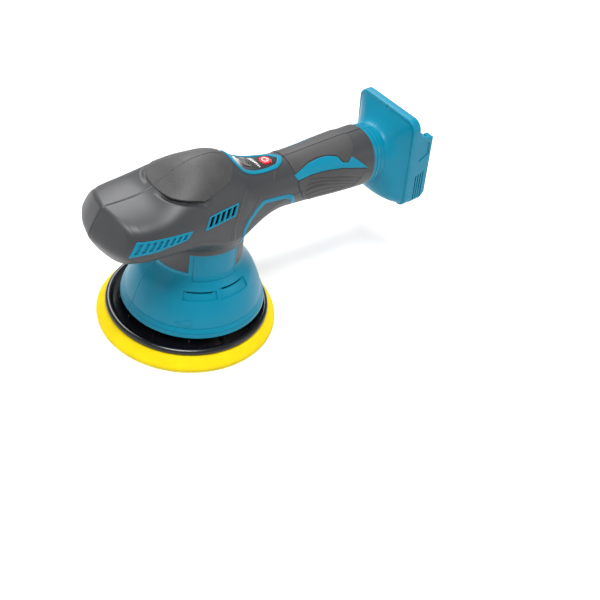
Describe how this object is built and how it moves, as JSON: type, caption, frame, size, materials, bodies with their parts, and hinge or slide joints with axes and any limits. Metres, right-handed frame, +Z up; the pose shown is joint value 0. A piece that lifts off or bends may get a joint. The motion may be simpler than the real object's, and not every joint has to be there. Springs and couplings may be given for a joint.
{
  "type": "dual action polisher",
  "caption": "Cordless dual action polisher: palm-grip body over a bell housing, free-turning foam pad on an eccentric, handle with a slide battery foot.",
  "frame": {"origin": "on the motor axis, in the plane of the pad's working face", "axes": "+Z up along the motor axis away from the pad, -X towards the nose, +X along the handle, -Y the left side"},
  "size_m": [0.3105, 0.15, 0.1578],
  "materials": {
    "pad_face": "looped hook backing",
    "foam": "matt open foam",
    "black_plastic": "fine texture",
    "steel": "turned",
    "brass": "satin",
    "lamination": "stacked sheet",
    "magnet": "coated",
    "copper": "enamelled wire",
    "aluminium": "die cast",
    "body_grey": "fine spark texture",
    "teal_plastic": "satin",
    "soft_rubber": "soft touch texture",
    "gloss_black": "polished",
    "window": "tinted and polished",
    "lit_red": "lit segments",
    "white_mark": "printed",
    "red_button": "satin",
    "board": "solder mask",
    "can": "sleeved",
    "wire_yellow": "insulation",
    "wire_red": "insulation"
  },
  "bodies": {
    "housing": {"stator_core": "lamination", "stator_windings": "copper", "motor_can": "aluminium", "motor_end_cap": "black_plastic", "upper_bearing": "steel", "lower_bearing": "steel", "bearing_plate": "aluminium", "bearing_plate_screws": "steel", "bell_left": "teal_plastic", "bell_right": "teal_plastic", "bell_screws": "steel", "body_left": "body_grey", "body_right": "body_grey", "body_screws": "steel", "palm_pad_left": "soft_rubber", "palm_pad_right": "soft_rubber", "nose_grille_left": "teal_plastic", "nose_grille_right": "teal_plastic", "side_vent_left": "teal_plastic", "side_vent_right": "teal_plastic", "trim_stripe_left": "teal_plastic", "trim_stripe_right": "teal_plastic", "panel_bezel": "teal_plastic", "panel_fascia": "gloss_black", "display_window": "window", "display_module": "black_plastic", "display_digits": "lit_red", "level_marks": "white_mark", "control_board": "board", "tact_switch": "black_plastic", "driver_board": "board", "filter_capacitors": "can", "phase_leads": "wire_yellow", "battery_leads": "wire_red", "handle_grip_left": "soft_rubber", "handle_grip_right": "soft_rubber", "handle_inlay_left": "teal_plastic", "handle_inlay_right": "teal_plastic", "foot_left": "teal_plastic", "foot_right": "teal_plastic", "foot_screws": "steel", "terminal_block": "black_plastic", "terminal_blades": "brass"},
    "eccentric": {"eccentric_hub": "steel", "counterweight": "brass", "pad_bearing_lower": "steel", "pad_bearing_upper": "steel", "retaining_ring": "steel", "motor_shaft": "steel", "fan": "black_plastic", "rotor_core": "lamination", "rotor_magnets": "magnet"},
    "pad": {"hook_face": "pad_face", "foam_pad": "foam", "backing_plate": "black_plastic", "pad_stud": "steel", "pad_washer": "black_plastic", "pad_spindle": "steel"},
    "button": {"power_button": "red_button", "power_icon": "white_mark"}
  },
  "joints": [
    {"name": "shaft_spin", "type": "hinge", "parent": "housing", "child": "eccentric", "pos_m": [0, 0, 0], "axis": [0, 0, 1], "continuous": true},
    {"name": "pad_spin", "type": "hinge", "parent": "eccentric", "child": "pad", "pos_m": [-0.0045, 0, 0], "axis": [0, 0, 1], "continuous": true},
    {"name": "power_press", "type": "slide", "parent": "housing", "child": "button", "axis": [0, 0, -1], "range_m": [0, 0.0008], "stiffness_N_per_m": 600, "springref_m": -0.0005}
  ]
}
